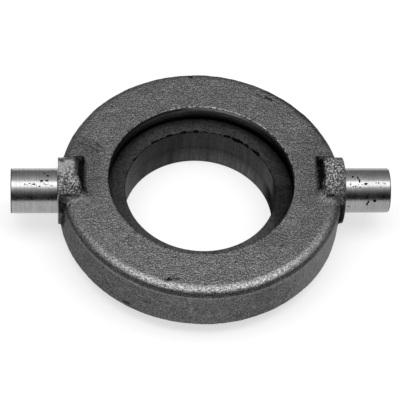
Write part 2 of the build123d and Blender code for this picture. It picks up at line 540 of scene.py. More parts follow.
def roughen(piece, sizes):
    """Raises the relief of a sand casting on every face that isn't turned, and marks it."""
    swell_size, grain_size, pit_size = 7 * MM, 1.3 * MM, 2.6 * MM
    # The foot is turned, so the relief fades out over this height above it
    fade = 0.4 * MM
    # The grain stands this many times higher on the bosses
    lumpy = 2.6
    bm = bmesh.new()
    bm.from_mesh(piece.data)
    lifts, stains_and_shades, scuffs, bosses = [], [], [], []
    for vert in bm.verts:
        place = vert.co
        # Swells have three layers of noise and grain has two, each half the size of the last
        swell = noise.fractal(place / swell_size, 1.0, 2.0, 3)
        grain = noise.fractal(place / grain_size, 0.8, 2.0, 2)
        from_middle = noise.voronoi(place / pit_size)[0][0]
        pit = ramp(from_middle, 0.32, 0.1)
        depth, dark, pale = near_mark(place)
        on_boss = boss_share(place, sizes)
        lift = sizes.skin_swell * swell - sizes.skin_pit * pit - depth
        lift += sizes.skin_grain * grain * (1 + on_boss * (lumpy - 1))
        above_foot = ramp(place.z, sizes.foot_height, sizes.foot_height + fade)
        lifts.append(vert.normal * lift * above_foot)
        # The dark marks are stains, and painted shade round the bosses and along the back of the
        # rim
        stains_and_shades.append(dark)
        scuffs.append(pale)
        bosses.append(on_boss)
    for vert, lift in zip(bm.verts, lifts):
        vert.co += lift
        vert.co.y = min(max(vert.co.y, HOUSING_LOW.y), HOUSING_HIGH.y)
        vert.co.z = min(vert.co.z, HOUSING_HIGH.z)
    bm.to_mesh(piece.data)
    bm.free()
    for name, values in (("stain", stains_and_shades), ("scuff", scuffs), ("boss", bosses)):
        keep_value(piece.data, name, values)


def wear_and_painted_light(mesh, depth, normals):
    """Stores, at each point and from 0 to 1, how sheltered, worn or upright the casting is, and
    where painted shade and light go: shade in the hollows along with their scale, on upright walls
    and in a band under the rim, a highlight along with the wear on the rim, a pale ridge under the
    band, and light on walls that face right.

    The depth is that of the hollow a point lies in, and the normal the way it faces, both before
    the relief of the sand.
    """
    rise = normals[:, 2]
    across = np.maximum(np.hypot(normals[:, 0], normals[:, 1]), 1e-6)
    sideways = normals[:, 0] / across
    forward = np.clip((0.05 * normals[:, 0] - normals[:, 1]) / across, 0, 1)
    to_right, to_left = straight_ramp(sideways, 0.45, 0.4), straight_ramp(-sideways, 0.75, 0.15)
    upright = 1 - np.clip(np.abs(rise) / 0.5, 0, 1)
    # Proud edges are worn bright on their upper side, and a highlight is painted there too: most in
    # front, and less round the sides
    proud = straight_ramp(-depth, 0.03 * MM, 0.20 * MM)
    worn_and_highlit = np.clip(1.2 * forward ** np.where(sideways > 0, 1.6, 2.4), 0, 1)
    # Below the worn edge runs a painted dark band, and below that a faint painted pale ridge
    flank = proud * (1 - straight_ramp(rise, 0.62, 0.1)) * straight_ramp(rise, 0.24, 0.1)
    ridge = proud * straight_ramp(-rise, -0.26, 0.1) * straight_ramp(rise, 0.02, 0.06)
    front = np.clip(1.2 * forward**2.5, 0, 1)
    least = np.where(sideways < 0, 0.6, 0.25)
    # Darker in hollows: burnt scale there, and painted shade
    keep_value(mesh, "hollow", np.clip(depth / (0.25 * MM), 0, 1))
    keep_value(mesh, "proud", proud * straight_ramp(rise, 0.66, 0.2) * worn_and_highlit)
    keep_value(mesh, "flank", flank * (least + (1 - least) * front))
    keep_value(mesh, "ridge", ridge)
    # Painted shade on upright walls, less on walls that face the sides, and painted light on walls
    # that face right
    keep_value(mesh, "upright", upright * (1 - to_right - 0.3 * to_left))
    keep_value(mesh, "aside", upright * to_right)


def facing_cut(sizes):
    """What is turned off the ends of the two bosses."""
    wide = 60 * MM
    bm = bmesh.new()
    for side in (1, -1):
        place = Matrix.Translation((side * (sizes.boss_face + wide / 2), 0, sizes.pin_height))
        bmesh.ops.create_cube(bm, size=wide, matrix=place)
    return new_piece("facing_cut", bm)


def lathe_cut(sizes):
    """What the lathe takes out of the casting: the bore of the flange and the graphite's seat.

    The edge of the opening is worn round, and slopes off towards the back.
    """
    past = 3 * MM
    slope = 18
    seat = sizes.graphite_radius + sizes.seat_clearance
    edge = sizes.flange_chamfer
    middle = (sizes.flange_bore + edge, sizes.back_height - edge)
    worn = rounded(edge, math.pi, math.radians(90 + slope), middle, steps=6)
    outline = [
        (0, sizes.foot_height - past),
        (seat + sizes.seat_mouth, sizes.foot_height - past),
        (seat + sizes.seat_mouth, sizes.foot_height),
        (seat, sizes.foot_height + sizes.seat_mouth),
        (seat, sizes.graphite_height),
        (sizes.flange_bore, sizes.graphite_height),
        *worn,
        (worn[-1][0] + past, worn[-1][1] + past * math.tan(math.radians(slope))),
        (worn[-1][0] + past, sizes.back_height + past),
        (0, sizes.back_height + past),
    ]
    return lathe("lathe_cut", outline, steps=360, axis=Vector((0, 0, 1)))


def pin(sizes, side):
    """One trunnion pin, with the radius at its root and the chamfer on its end."""
    # Short faces along the pin let the pores cut it cleanly
    lengths = 44
    buried = 1.5 * MM
    root, chamfer = sizes.pin_root, sizes.pin_chamfer
    start = sizes.boss_face + root
    end = sizes.pin_end - chamfer
    outline = [(0, sizes.boss_face - buried), (sizes.pin_radius + root, sizes.boss_face - buried)]
    outline += rounded(root, math.pi * 1.5, math.pi, (sizes.pin_radius + root, start), steps=5)
    outline += [
        (sizes.pin_radius, start + (end - start) * step / lengths) for step in range(1, lengths)
    ]
    outline += [
        (sizes.pin_radius, end),
        (sizes.pin_radius - chamfer, sizes.pin_end),
        (sizes.pin_radius / 2, sizes.pin_end),
        (0, sizes.pin_end),
    ]
    out, up = Vector((side, 0, 0)), Vector((0, 0, 1))
    centre = up * sizes.pin_height
    return lathe(f"pin_{side}", outline, steps=112, axis=out, centre=centre, across=up)


def add_hollow(bm, place, half_sizes, subdivisions, lump_size, raggedness):
    """Adds a ragged ball, to be cut out of a piece, at a place and with its half sizes there.

    All sizes are in millimetres. Lumps of the size given raise its skin by up to the raggedness.
    """
    shape = place @ Matrix.Diagonal((*(half * MM for half in half_sizes), 1))
    made = bmesh.ops.create_icosphere(bm, subdivisions=subdivisions, radius=1, matrix=shape)
    for vert in made["verts"]:
        vert.co += noise.noise_vector(vert.co / (lump_size * MM)) * raggedness * MM


# Pores that the turning opened in the pins: side, distance from the boss, angle from the top
# towards the front, half length and half width
PORES = (
    (-1, 3.4, -3, 0.45, 0.30),
    (-1, 5.4, 12, 0.40, 0.28),
    (-1, 3.7, 12, 0.42, 0.25),
    (-1, 8.1, 21, 0.55, 0.22),
    (-1, 4.5, -13, 0.28, 0.30),
    (-1, 1.7, -23, 0.30, 0.25),
    (1, 2.9, 1, 0.32, 0.34),
    (1, 4.6, 4, 0.22, 0.50),
    (1, 5.1, 13, 0.25, 0.60),
    (1, 7.2, 21, 0.50, 0.30),
    (1, 10.2, 66, 0.45, 0.40),
    (1, 8.1, 69, 0.28, 0.45),
    (1, 7.7, 76, 0.25, 0.55),
    (1, 1.6, 84, 0.42, 0.18),
)
# Strings of fine pores along a pin: side, from, to and angle
PORE_STRINGS = ((-1, 1.8, 11.4, 22), (1, 10.6, 14.3, 21), (1, 2.0, 7.5, 24))


def pores(sizes, seed):
    """The hollows of the open pores, to be cut out of the pins."""
    scatter = random.Random(seed)
    noise.seed_set(seed)
    places = list(PORES)
    for side, start, end, angle in PORE_STRINGS:
        along = start
        while along < end:
            size = scatter.uniform(0.09, 0.20)
            places.append((side, along, angle + scatter.gauss(0, 3), size * 1.4, size))
            # The pores of a string stay clear of each other, because overlaps spoil the cut
            along += size * 3.9 + scatter.uniform(0.03, 0.3)
    # The hollows are cut a little larger than the sizes above, which are read off the dark spots
    larger = 1.3
    bm = bmesh.new()
    for side, along, angle, half_length, half_width in places:
        half_length, half_width = half_length * larger, half_width * larger
        least = min(half_length, half_width)
        turn = math.radians(angle)
        out = Vector((0, -math.sin(turn), math.cos(turn)))
        centre = Vector((side * (sizes.boss_face + along * MM), 0, sizes.pin_height))
        place = Matrix.Translation(centre + out * sizes.pin_radius) @ Matrix.Rotation(turn, 4, "X")
        half_sizes = (half_length, half_width, least * 0.9)
        add_hollow(bm, place, half_sizes, subdivisions=2, lump_size=0.35, raggedness=least * 0.3)
    return new_piece("pores", bm)


def finish_edges(piece, angle):
    """Shades a piece smooth but for its sharp edges."""
    piece.data.shade_smooth()
    piece.data.set_sharp_from_angle(angle=angle)


def share_out(piece, materials, choose):
    """Gives each face of a piece the material that choose names for its centre and its normal."""
    slots = {name: index for index, name in enumerate(materials)}
    piece.data.materials.clear()
    for name in materials:
        piece.data.materials.append(bpy.data.materials[name])
    for face in piece.data.polygons:
        face.material_index = slots[choose(face.center, face.normal)]


def housing_finish(sizes):
    """A function that names the finish of a face of the housing."""
    hair = 0.02 * MM
    bored_radius = sizes.flange_bore + sizes.flange_chamfer * 0.15
    worn_radius = sizes.flange_bore + sizes.flange_chamfer * 1.3
    seat_radius = sizes.graphite_radius + sizes.seat_clearance + sizes.seat_mouth

    def finish_of(centre, normal):
        away = centre.xy.length
        from_pin = math.hypot(centre.y, centre.z - sizes.pin_height)
        if abs(centre.x) > sizes.boss_face - hair:
            # A pore's faces lie inside the pin, as its end does, which faces along X
            in_pore = from_pin < sizes.pin_radius - 2 * hair and abs(normal.x) < 0.9
            return "pore" if in_pore else "turned_iron"
        if centre.z < sizes.foot_height + hair or away < bored_radius:
            return "bored_iron"
        if away < worn_radius and centre.z > sizes.graphite_height + hair:
            return "worn_edge"
        if centre.z < sizes.back_height - sizes.flange_chamfer and away < seat_radius:
            return "bored_iron"
        return "cast_skin"

    return finish_of


class BEARING_OT_housing(bpy.types.Operator):
    """Casts, bores and turns the iron housing"""

    bl_idname = "bearing.housing"
    bl_label = "Housing"

    def execute(self, context):
        sizes = context.scene.bearing_sizes
        piece = casting_blank(sizes)
        even_skin(piece, sizes.skin_cell)
        slump(piece)
        depth, normals = surroundings(piece.data, rounds=24)
        roughen(piece, sizes)
        wear_and_painted_light(piece.data, depth, normals)
        combine(piece, facing_cut(sizes), "DIFFERENCE")
        combine(piece, lathe_cut(sizes), "DIFFERENCE")
        for side in (1, -1):
            combine(piece, pin(sizes, side), "UNION")
        combine(piece, pores(sizes, context.scene.bearing_stage.seed), "DIFFERENCE")
        finishes = ("cast_skin", "turned_iron", "bored_iron", "worn_edge", "pore")
        share_out(piece, finishes, housing_finish(sizes))
        finish_edges(piece, angle=math.radians(40))
        piece.name = piece.data.name = "housing_looks"
        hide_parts("housing")
        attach(piece, "root")
        return {"FINISHED"}


# Chips along the edge of the graphite's bore: angle round the bearing from the right towards the
# back, half length, half depth
CHIPS = (
    (163, 1.3, 0.35),
    (149, 1.5, 0.5),
    (125, 1.9, 0.7),
    (119, 0.8, 0.4),
    (112, 1.2, 0.7),
    (106, 0.6, 0.35),
    (100.5, 1.1, 0.8),
    (96, 0.6, 0.3),
    (91, 1.1, 0.8),
    (84, 0.7, 0.3),
    (77.5, 1.0, 0.35),
    (72, 0.6, 0.4),
    (66.5, 1.4, 0.8),
    (62.5, 0.6, 0.4),
    (58.5, 1.7, 1.05),
    (54, 0.9, 0.7),
    (49, 1.3, 0.75),
    (44, 0.7, 0.4),
    (39, 1.8, 0.95),
    (33, 0.7, 0.35),
    (19, 1.1, 0.35),
    (-2, 0.8, 0.3),
)


def chips(sizes, first):
    """The hollows of every second chip along the edge of the bore, so that none overlap."""
    bm = bmesh.new()
    for angle, half_length, half_depth in CHIPS[first::2]:
        turn = math.radians(angle)
        out = Vector((math.cos(turn), math.sin(turn), 0))
        centre = out * sizes.graphite_bore + Vector((0, 0, sizes.graphite_height))
        place = Matrix.Translation(centre) @ Matrix.Rotation(turn, 4, "Z")
        half_sizes = (half_depth, half_length, half_depth * 0.75)
        raggedness = half_depth * 0.6
        add_hollow(bm, place, half_sizes, subdivisions=3, lump_size=0.9, raggedness=raggedness)
    return new_piece("chips", bm)


def graphite_outline(sizes):
    """Section of the graphite ring, as (distance from the axis, height)."""
    bore, outside, top = sizes.graphite_bore, sizes.graphite_radius, sizes.graphite_height
    chamfer, edge = sizes.graphite_chamfer, sizes.graphite_edge
    return [
        (bore + edge, 0),
        (outside - chamfer, 0),
        (outside, chamfer),
        (outside, top - chamfer),
        (outside - chamfer, top),
        (bore + edge, top),
        (bore, top - edge),
        (bore, top / 2),
        (bore, edge),
        (bore + edge, 0),
    ]


def graphite_finish(sizes):
    """A function that names the finish of a face of the graphite, broken in its chips."""
    hair = 0.02 * MM
    # Past this far from the edge of the bore nothing is chipped
    reach = 2.2 * MM
    crumb_size = 1.3 * MM

    def finish_of(centre, _):
        out = centre.xy.length - sizes.graphite_bore
        below = sizes.graphite_height - centre.z
        if abs(out + below - sizes.graphite_edge) < hair:
            # The chamfer takes the broken colour in more places along the stretch where the chips
            # are
            chipped = 30 < math.degrees(math.atan2(centre.y, centre.x)) < 128
            broken = noise.noise(centre / crumb_size) > (-0.1 if chipped else 0.2)
        else:
            broken = hair < out < reach and hair < below < reach
        return "broken_graphite" if broken else "ground_graphite"

    return finish_of


class BEARING_OT_graphite_ring(bpy.types.Operator):
    """Moulds the graphite ring and chips the edge of its bore"""

    bl_idname = "bearing.graphite_ring"
    bl_label = "Graphite ring"

    def execute(self, context):
        sizes = context.scene.bearing_sizes
        outline = graphite_outline(sizes)
        piece = lathe("graphite_looks", outline, steps=480, axis=Vector((0, 0, 1)))
        noise.seed_set(context.scene.bearing_stage.seed)
        for first in (0, 1):
            combine(piece, chips(sizes, first), "DIFFERENCE")
        share_out(piece, ("ground_graphite", "broken_graphite"), graphite_finish(sizes))
        finish_edges(piece, angle=math.radians(30))
        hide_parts("graphite_ring")
        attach(piece, "root")
        return {"FINISHED"}


# Materials


def connect(tree, node, inputs):
    """Sets the inputs of a node, or links those that are given a socket."""
    for name, value in inputs.items():
        if isinstance(value, bpy.types.NodeSocket):
            tree.links.new(value, node.inputs[name])
        else:
            node.inputs[name].default_value = value


def add_node(tree, kind, inputs=None, **settings):
    """A node of a tree, with its settings and its inputs."""
    node = tree.nodes.new(kind)
    for name, value in settings.items():
        setattr(node, name, value)
    connect(tree, node, inputs or {})
    return node


def calculate(tree, operation, *values):
    """What an operation makes of numbers and sockets."""
    inputs = dict(enumerate(values))
    return add_node(tree, "ShaderNodeMath", inputs, operation=operation).outputs[0]


def spread(tree, value, low, high, to_low=0.0, to_high=1.0):
    """A value carried from one range to another, and kept in it."""
    ends = {"From Min": low, "From Max": high, "To Min": to_low, "To Max": to_high}
    return add_node(tree, "ShaderNodeMapRange", {"Value": value, **ends}).outputs[0]


def product(tree, *values):
    """Values multiplied, each a socket, or a row of a value and the ranges that spread takes."""
    sockets = [spread(tree, *value) if isinstance(value, tuple) else value for value in values]
    total = sockets[0]
    for socket in sockets[1:]:
        total = calculate(tree, "MULTIPLY", total, socket)
    return total


def shade(colour, share):
    """A colour made darker, or lighter where the share is over 1."""
    return [level * share for level in colour]


def mix_colours(tree, factor, first, second):
    """A mix of two colours, each a colour or a socket."""
    inputs = {0: factor}
    for index, colour in ((6, first), (7, second)):
        is_socket = isinstance(colour, bpy.types.NodeSocket)
        inputs[index] = colour if is_socket else (*colour[:3], 1)
    return add_node(tree, "ShaderNodeMix", inputs, data_type="RGBA").outputs[2]


def layered(tree, colour, *layers):
    """A colour under layers, each a row of a value, the ranges that spread takes, and a colour."""
    for *row, cover in layers:
        colour = mix_colours(tree, spread(tree, *row), colour, cover)
    return colour


def dimmed(tree, share, colour):
    """A colour with only a share of its light left."""
    return mix_colours(tree, share, (0, 0, 0), colour)


def bump(tree, height, distance, below=None):
    """A bump, on top of another one where that is given."""
    inputs = {"Height": height, "Distance": distance, "Strength": 1.0}
    if below is not None:
        inputs["Normal"] = below
    return add_node(tree, "ShaderNodeBump", inputs).outputs[0]


def attribute(tree, name):
    """A value stored on the piece."""
    return add_node(tree, "ShaderNodeAttribute", attribute_name=name).outputs["Fac"]


def axes_of(tree, place):
    """The X, Y and Z of a place."""
    return add_node(tree, "ShaderNodeSeparateXYZ", {0: place}).outputs


def scaled(tree, place, scale):
    """A place scaled along each axis, so that a pattern is drawn out where the scale is small."""
    inputs = {0: place, 1: scale}
    return add_node(tree, "ShaderNodeVectorMath", inputs, operation="MULTIPLY").outputs[0]


def from_axis(tree, place):
    """How far a place is from the axis of the bearing."""
    inputs = {0: scaled(tree, place, (1, 1, 0))}
    return add_node(tree, "ShaderNodeVectorMath", inputs, operation="LENGTH").outputs["Value"]


def texture_group(name, size_name, size, detail, cell_share):
    """Makes a node group that gives a tone and a height for a place, from noise of a given size.

    The cell share is how much of the height comes from separate cells, like grains of sand.
    """
    group = bpy.data.node_groups.new(name, "ShaderNodeTree")
    sockets = group.interface
    sockets.new_socket("Vector", in_out="INPUT", socket_type="NodeSocketVector")
    size_socket = sockets.new_socket(size_name, in_out="INPUT", socket_type="NodeSocketFloat")
    size_socket.default_value = size
    for title in ("Tone", "Height"):
        sockets.new_socket(title, in_out="OUTPUT", socket_type="NodeSocketFloat")
    given = group.nodes.new("NodeGroupInput").outputs
    scale = calculate(group, "DIVIDE", 1.0, given[size_name])
    pattern = {"Vector": given["Vector"], "Scale": scale}
    clouds = add_node(group, "ShaderNodeTexNoise", {**pattern, "Detail": detail, "Roughness": 0.7})
    # Nearly all of the noise lies in this range, which becomes the whole range of the tone
    tone = height = spread(group, clouds.outputs[0], 0.3, 0.7)
    if cell_share:
        cells = add_node(group, "ShaderNodeTexVoronoi", pattern).outputs["Distance"]
        mixed = {"Factor": cell_share, "A": tone, "B": cells}
        height = add_node(group, "ShaderNodeMix", mixed).outputs[0]
    connect(group, group.nodes.new("NodeGroupOutput"), {"Tone": tone, "Height": height})


def sand_grain(tree, place, size):
    """The tone and height of a moulded surface, from a place on it and the size of a grain."""
    inputs = {"Vector": place, "Grain": size}
    group = bpy.data.node_groups["Sand grain"]
    return add_node(tree, "ShaderNodeGroup", inputs, node_tree=group).outputs


def tool_marks(tree, place, pitch):
    """The tone and height that a lathe leaves, from a place with its turning taken out."""
    inputs = {"Vector": place, "Pitch": pitch}
    group = bpy.data.node_groups["Tool marks"]
    return add_node(tree, "ShaderNodeGroup", inputs, node_tree=group).outputs


def new_material(name):
    """A material's tree and its shader, and the place of a point on the piece."""
    material = bpy.data.materials.new(name)
    material.use_nodes = True
    tree = material.node_tree
    place = add_node(tree, "ShaderNodeTexCoord").outputs["Object"]
    return tree, tree.nodes["Principled BSDF"], place


# Metal under a film of dirt, which keeps its reflections down
DIRTY_METAL = {"Metallic": 0.95, "Specular IOR Level": 0.2}


def bare_skin(tree, place, fine, broad, boss, finish):
    """Colour of the sand-cast skin: dark and light sand, pale shoals, dark clouds and specks."""
    specks = sand_grain(tree, place, 0.42 * MM)["Tone"]
    shoals = sand_grain(tree, place, 1.9 * MM)["Tone"]
    dark, light = shade(finish.skin, 0.29), shade(finish.skin, 2.1)
    colour = layered(
        tree,
        mix_colours(tree, fine, dark, light),
        (shoals, 0.4, 0.9, 0, 0.32, light),
        (broad, 0, 1, 0, 0.33, dark),
        (specks, 0, 0.6, 1, 0, finish.scale),
    )
    salt = product(tree, (specks, 0.55, 0.9), (boss, 0, 1, 0.75, 1))
    return mix_colours(tree, salt, colour, finish.worn)


def knocked_skin(tree, place, along, finish):
    """Colour of the knocked bosses: bright crumbs, and smooth at the back of the left one."""
    crumbs = sand_grain(tree, place, 0.55 * MM)["Tone"]
    dull, glint = shade(finish.skin, 0.5), shade(finish.worn, 2.75)
    sparkle = mix_colours(tree, spread(tree, crumbs, 0.42, 0.66), dull, glint)
    light = product(
        tree, (along["X"], 44 * MM, 47 * MM, 1, 0.62), (along["Y"], 3 * MM, 8 * MM, 1, 0.72)
    )
    smooth = product(
        tree, (along["X"], 40 * MM, -40 * MM), (along["Y"], -2.5 * MM, 1.5 * MM, 0, 0.75)
    )
    return mix_colours(tree, smooth, dimmed(tree, light, sparkle), shade(finish.worn, 2))


def cast_skin(finish):
    """Sand-cast iron: grainy, dark in its hollows with scale and painted shade, worn bright on its
    edges under a painted highlight, and with painted shade and light on its walls and bosses.
    """
    tree, shader, place = new_material("cast_skin")
    fine, broad = sand_grain(tree, place, 0.6 * MM), sand_grain(tree, place, 4.5 * MM)
    along = axes_of(tree, place)
    boss = attribute(tree, "boss")
    knocked = product(tree, boss, (along["X"], 40 * MM, -40 * MM, 0.9, 1))
    # Painted shade on the fronts of the bosses
    shaded_boss_front = product(tree, boss, (along["Y"], -3 * MM, -8 * MM, 0, 0.5))
    # Painted light on walls that face right
    painted_light = product(tree, attribute(tree, "aside"), fine["Tone"])
    # Where the rim is worn bright, with a painted highlight on it
    worn_rim_and_highlight = product(tree, attribute(tree, "proud"), (boss, 0, 0.5, 1, 0.1))
    grains = spread(tree, fine["Tone"], 0.15, 0.8)
    polished_highlight = mix_colours(tree, grains, finish.skin, shade(finish.worn, 1.9))
    scuffed = product(tree, attribute(tree, "scuff"), fine["Tone"])
    skin = bare_skin(tree, place, fine["Tone"], broad["Tone"], boss, finish)
    colour = layered(
        tree,
        mix_colours(tree, knocked, skin, knocked_skin(tree, place, along, finish)),
        (shaded_boss_front, 0, 1, 0, 1, finish.scale),
        # Scale with painted shade in the hollows, then painted shade on upright walls and in the
        # band under the rim, a painted pale ridge, painted light on walls that face right, the worn
        # rim with its painted highlight, scuffs, and stains with painted shade
        (attribute(tree, "hollow"), 0.3, 0.9, 0, 0.8, finish.scale),
        (attribute(tree, "upright"), 0, 1, 0, 0.29, finish.scale),
        (attribute(tree, "flank"), 0, 0.6, 0, 0.6, finish.scale),
        (attribute(tree, "ridge"), 0, 1, 0, 0.35, shade(finish.skin, 2.1)),
        (painted_light, 0, 1, 0, 0.9, shade(finish.skin, 2)),
        (worn_rim_and_highlight, 0.1, 0.9, 0, 1, polished_highlight),
        (scuffed, 0, 1, 0, 1, finish.worn),
        (attribute(tree, "stain"), 0, 1, 0, 1, finish.broken),
    )
    # The grain stands higher on the bosses
    lumpy = product(tree, fine["Height"], (boss, 0, 1, 1, 2.4))
    grain_bump = bump(tree, lumpy, 0.2 * MM)
    shown = {
        "Base Color": colour,
        "Specular Tint": (0.35, 0.35, 0.35, 1),
        "Roughness": spread(tree, fine["Tone"], 0, 1, 0.44, 0.26),
        "Normal": bump(tree, broad["Height"], 0.12 * MM, grain_bump),
    }
    connect(tree, shader, {**DIRTY_METAL, **shown})


def worn_edge(finish):
    """The edge of the opening, worn bright in specks: most at the back, less right, least left."""
    tree, shader, place = new_material("worn_edge")
    specks = sand_grain(tree, place, 1.0 * MM)
    along_x = axes_of(tree, place)["X"]
    bare = product(
        tree,
        (specks["Tone"], 0.25, 0.65),
        (along_x, -3.5 * MM, -1.5 * MM, 0.55, 1),
        (along_x, 9.5 * MM, 12 * MM, 1, 0.85),
    )
    shown = {
        "Base Color": mix_colours(tree, bare, finish.scale, finish.turned),
        "Metallic": 1.0,
        "Roughness": spread(tree, specks["Tone"], 0, 1, 0.4, 0.2),
        "Normal": bump(tree, specks["Height"], 0.12 * MM),
    }
    connect(tree, shader, shown)


def turned_iron(finish):
    """Iron turned bright, with the fine rings of the tool, dulled in patches and flecked."""
    tree, shader, place = new_material("turned_iron")
    rings = tool_marks(tree, scaled(tree, place, (1, 0.02, 0.02)), 0.5 * MM)
    smears = sand_grain(tree, scaled(tree, place, (1, 0.35, 0.35)), 0.5 * MM)
    patches, flecks = sand_grain(tree, place, 3.2 * MM), sand_grain(tree, place, 0.45 * MM)
    dark, light = shade(finish.turned, 0.72), shade(finish.turned, 1.25)
    colour = layered(
        tree,
        mix_colours(tree, rings["Tone"], dark, light),
        (patches["Tone"], 0, 1, 0.35, 0, dark),
        (smears["Tone"], 0, 0.7, 0.5, 0, dark),
        # The outer half of the right pin is duller
        (axes_of(tree, place)["X"], 52 * MM, 55.5 * MM, 0, 0.45, dark),
        (flecks["Tone"], 0, 0.3, 0.85, 0, finish.skin),
    )
    ring_bump = bump(tree, rings["Height"], 0.004 * MM)
    shown = {
        "Base Color": colour,
        "Metallic": 1.0,
        "Roughness": spread(tree, patches["Tone"], 0, 1, 0.16, 0.3),
        "Normal": bump(tree, flecks["Height"], 0.012 * MM, ring_bump),
    }
    connect(tree, shader, shown)


def bored_iron(finish, sizes):
    """Iron bored dull, with rings round the axis of the bearing, and painted shade and light: dark
    low on the wall, a lighter band higher up that is strongest in the middle, and a painted
    highlight near the back.
    """
    tree, shader, place = new_material("bored_iron")
    rings = tool_marks(tree, scaled(tree, place, (0.02, 0.02, 1)), 0.7 * MM)
    dust = sand_grain(tree, place, 0.7 * MM)["Tone"]
    axes = axes_of(tree, place)
    along_x, height = axes["X"], axes["Z"]
    ledge, back = sizes.graphite_height, sizes.back_height
    dark = shade(finish.bored, 0.1)
    # The dull colour is painted shade low on the wall, and the lighter colour a painted light band
    # above it
    dull = mix_colours(tree, rings["Tone"], dark, shade(finish.bored, 0.5))
    lit_bore = mix_colours(tree, rings["Tone"], shade(finish.bored, 2.2), shade(finish.bored, 8))
    painted_light = product(
        tree,
        (height, ledge + 1.2 * MM, ledge + 2.9 * MM, 0.1, 1),
        (along_x, -10 * MM, 4 * MM, 0.55, 1),
        (along_x, 15 * MM, 27 * MM, 1, 0.3),
    )
    # Painted light and shade: at a step near the back the bore turns lighter, and left of the
    # middle it turns darker
    near_back = spread(tree, height, back - 1.9 * MM, back - 1.1 * MM)
    below_step = spread(tree, along_x, -6 * MM, -2 * MM, 0.8, 0.42)
    above_step = spread(tree, along_x, -6 * MM, -2 * MM, 0.3, 1)
    light = spread(tree, near_back, 0, 1, below_step, above_step)
    # A painted highlight: a bright crescent above the step, right of the middle
    painted_crescent = product(
        tree, near_back, (along_x, 2 * MM, 8 * MM), (along_x, 13 * MM, 18 * MM, 1, 0)
    )
    colour = layered(
        tree,
        dimmed(tree, light, mix_colours(tree, painted_light, dull, lit_bore)),
        (painted_crescent, 0, 1, 0, 1, finish.turned),
        (dust, 0, 1, 0, 0.5, dark),
    )
    shown = {
        "Base Color": colour,
        "Specular Tint": (0.3, 0.3, 0.3, 1),
        "Roughness": 0.34,
        "Normal": bump(tree, rings["Height"], 0.05 * MM),
    }
    connect(tree, shader, {**DIRTY_METAL, **shown})


def shaded_inside(name, finish, roughness, grains):
    """The inside of something broken open, painted near black for the shade in it.

    Its paler grains are given as their size and the ranges that spread takes.
    """
    tree, shader, place = new_material(name)
    size, *ranges = grains
    pale = spread(tree, sand_grain(tree, place, size)["Tone"], *ranges)
    shown = {
        "Base Color": mix_colours(tree, pale, finish.broken, finish.scale),
        "Roughness": roughness,
        "Specular IOR Level": 0.05,
    }
    connect(tree, shader, shown)


def bore_light(tree, axes, shaded_tip):
    """How light the graphite's bore is: lighter low down, dark along a line, and with painted shade
    at its sides and at its right end.
    """
    height, along_x = axes["Z"], axes["X"]
    up_to_line = spread(tree, height, 6.6 * MM, 7.5 * MM, 1, 0.75)
    above_line = spread(tree, height, 7.5 * MM, 8.6 * MM)
    return product(
        tree,
        (height, 8.0 * MM, 2.6 * MM, 0.46, 1),
        calculate(tree, "MAXIMUM", up_to_line, above_line),
        (along_x, -9 * MM, 9 * MM, 0.42, 1),
        (along_x, -25 * MM, -22.5 * MM, 0.55, 1),
        (along_x, 22.5 * MM, 24.6 * MM, 1, spread(tree, height, 6 * MM, 8.6 * MM, 0.12, 0.7)),
        (shaded_tip, 0, 1, 1, 0.3),
    )


def dusty_shaded_ledge(tree, place, along_x, away, finish, sizes):
    """Colour of the graphite's ledge: dusty, with painted shade in the corner below the flange and
    at both sides.
    """
    clouds = sand_grain(tree, place, 1.1 * MM)["Tone"]
    dust = mix_colours(tree, clouds, shade(finish.graphite, 1.2), shade(finish.graphite, 4.4))
    light = product(
        tree,
        (away, sizes.flange_bore - 2.0 * MM, sizes.flange_bore, 1, 0.55),
        (along_x, -27 * MM, -14 * MM, 0.55, 1),
        (along_x, 16 * MM, 27 * MM, 1, 0.5),
    )
    return dimmed(tree, light, dust)


